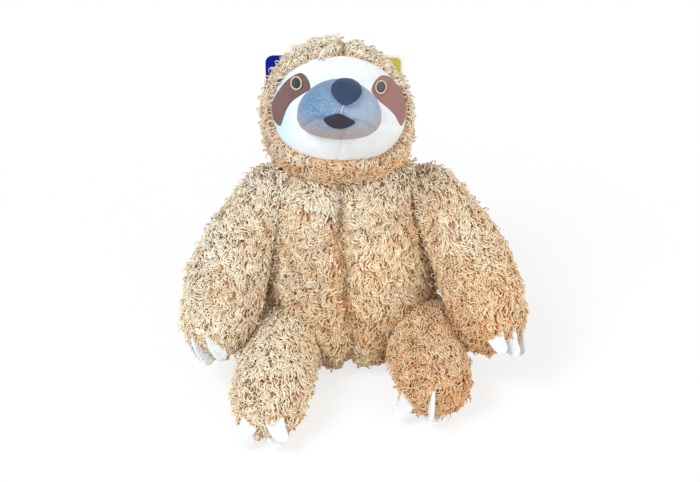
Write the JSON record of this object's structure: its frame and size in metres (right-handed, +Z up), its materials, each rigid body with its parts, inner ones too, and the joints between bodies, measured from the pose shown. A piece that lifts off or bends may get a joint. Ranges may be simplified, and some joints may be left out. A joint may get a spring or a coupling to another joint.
{
  "type": "plush sloth",
  "caption": "Seated plush sloth with a fur body, long arms and legs with felt claws, a soft pale face with dark eye patches, a stuffed muzzle, and a blank card hanging behind the head.",
  "frame": {"origin": "on the ground plane under the flat seat", "axes": "+Z up, -Y the way the toy faces, +X the toy's own left"},
  "size_m": [0.3344, 0.2963, 0.319],
  "materials": {
    "fur": "curly tan pile",
    "wadding": "fibre filling",
    "pellet_cloth": "woven bag with pellets",
    "face_plush": "short white velour",
    "suede": "short brown velour",
    "muzzle_velour": "short blue-grey velour",
    "nose_cloth": "smooth dark satin",
    "mouth_cloth": "dark felt",
    "cream_thread": "embroidery thread",
    "navy_thread": "embroidery thread",
    "claw_felt": "white felt",
    "card": "blank coated card",
    "nylon": "clear nylon pin"
  },
  "bodies": {
    "torso": {"torso_skin": "fur", "torso_stuffing": "wadding", "pellet_bag": "pellet_cloth"},
    "head": {"head_skin": "fur", "head_stuffing": "wadding", "face_panel": "face_plush", "eye_patch_left": "suede", "eye_patch_right": "suede", "eye_ring_left": "cream_thread", "eye_ring_right": "cream_thread", "pupil_left": "navy_thread", "pupil_right": "navy_thread", "muzzle_cover": "muzzle_velour", "muzzle_stuffing": "wadding", "nose": "nose_cloth", "mouth_lining": "mouth_cloth", "card_pin": "nylon"},
    "hanging_card": {"hang_card": "card"},
    "left_arm": {"left_arm_skin": "fur", "left_arm_stuffing": "wadding", "left_arm_claw_front": "claw_felt", "left_arm_claw_middle": "claw_felt", "left_arm_claw_back": "claw_felt"},
    "right_arm": {"right_arm_skin": "fur", "right_arm_stuffing": "wadding", "right_arm_claw_front": "claw_felt", "right_arm_claw_middle": "claw_felt", "right_arm_claw_back": "claw_felt"},
    "left_leg": {"left_leg_skin": "fur", "left_leg_stuffing": "wadding", "left_leg_claw_inner": "claw_felt", "left_leg_claw_middle": "claw_felt", "left_leg_claw_outer": "claw_felt"},
    "right_leg": {"right_leg_skin": "fur", "right_leg_stuffing": "wadding", "right_leg_claw_inner": "claw_felt", "right_leg_claw_middle": "claw_felt", "right_leg_claw_outer": "claw_felt"}
  },
  "joints": [
    {"name": "head_turn", "type": "hinge", "parent": "torso", "child": "head", "pos_m": [-0.004, 0.004, 0.203], "axis": [0, 0, 1], "range_deg": [-35, 35], "stiffness_Nm_per_rad": 0.15},
    {"name": "left_arm_lift", "type": "hinge", "parent": "torso", "child": "left_arm", "pos_m": [0.08193, 0.00334, 0.16], "axis": [0, -1, 0], "range_deg": [0, 90]},
    {"name": "right_arm_lift", "type": "hinge", "parent": "torso", "child": "right_arm", "pos_m": [-0.07169, 0.00334, 0.16], "axis": [0, 1, 0], "range_deg": [0, 90]},
    {"name": "left_leg_drop", "type": "hinge", "parent": "torso", "child": "left_leg", "pos_m": [0.072, -0.03, 0.0331], "axis": [1, 0, 0], "range_deg": [0, 60]},
    {"name": "right_leg_drop", "type": "hinge", "parent": "torso", "child": "right_leg", "pos_m": [-0.06, -0.06, 0.0331], "axis": [1, 0, 0], "range_deg": [0, 60]},
    {"name": "card_swing", "type": "hinge", "parent": "head", "child": "hanging_card", "pos_m": [-0.011, 0.07966, 0.27205], "axis": [1, 0, 0], "range_deg": [0, 40]}
  ]
}
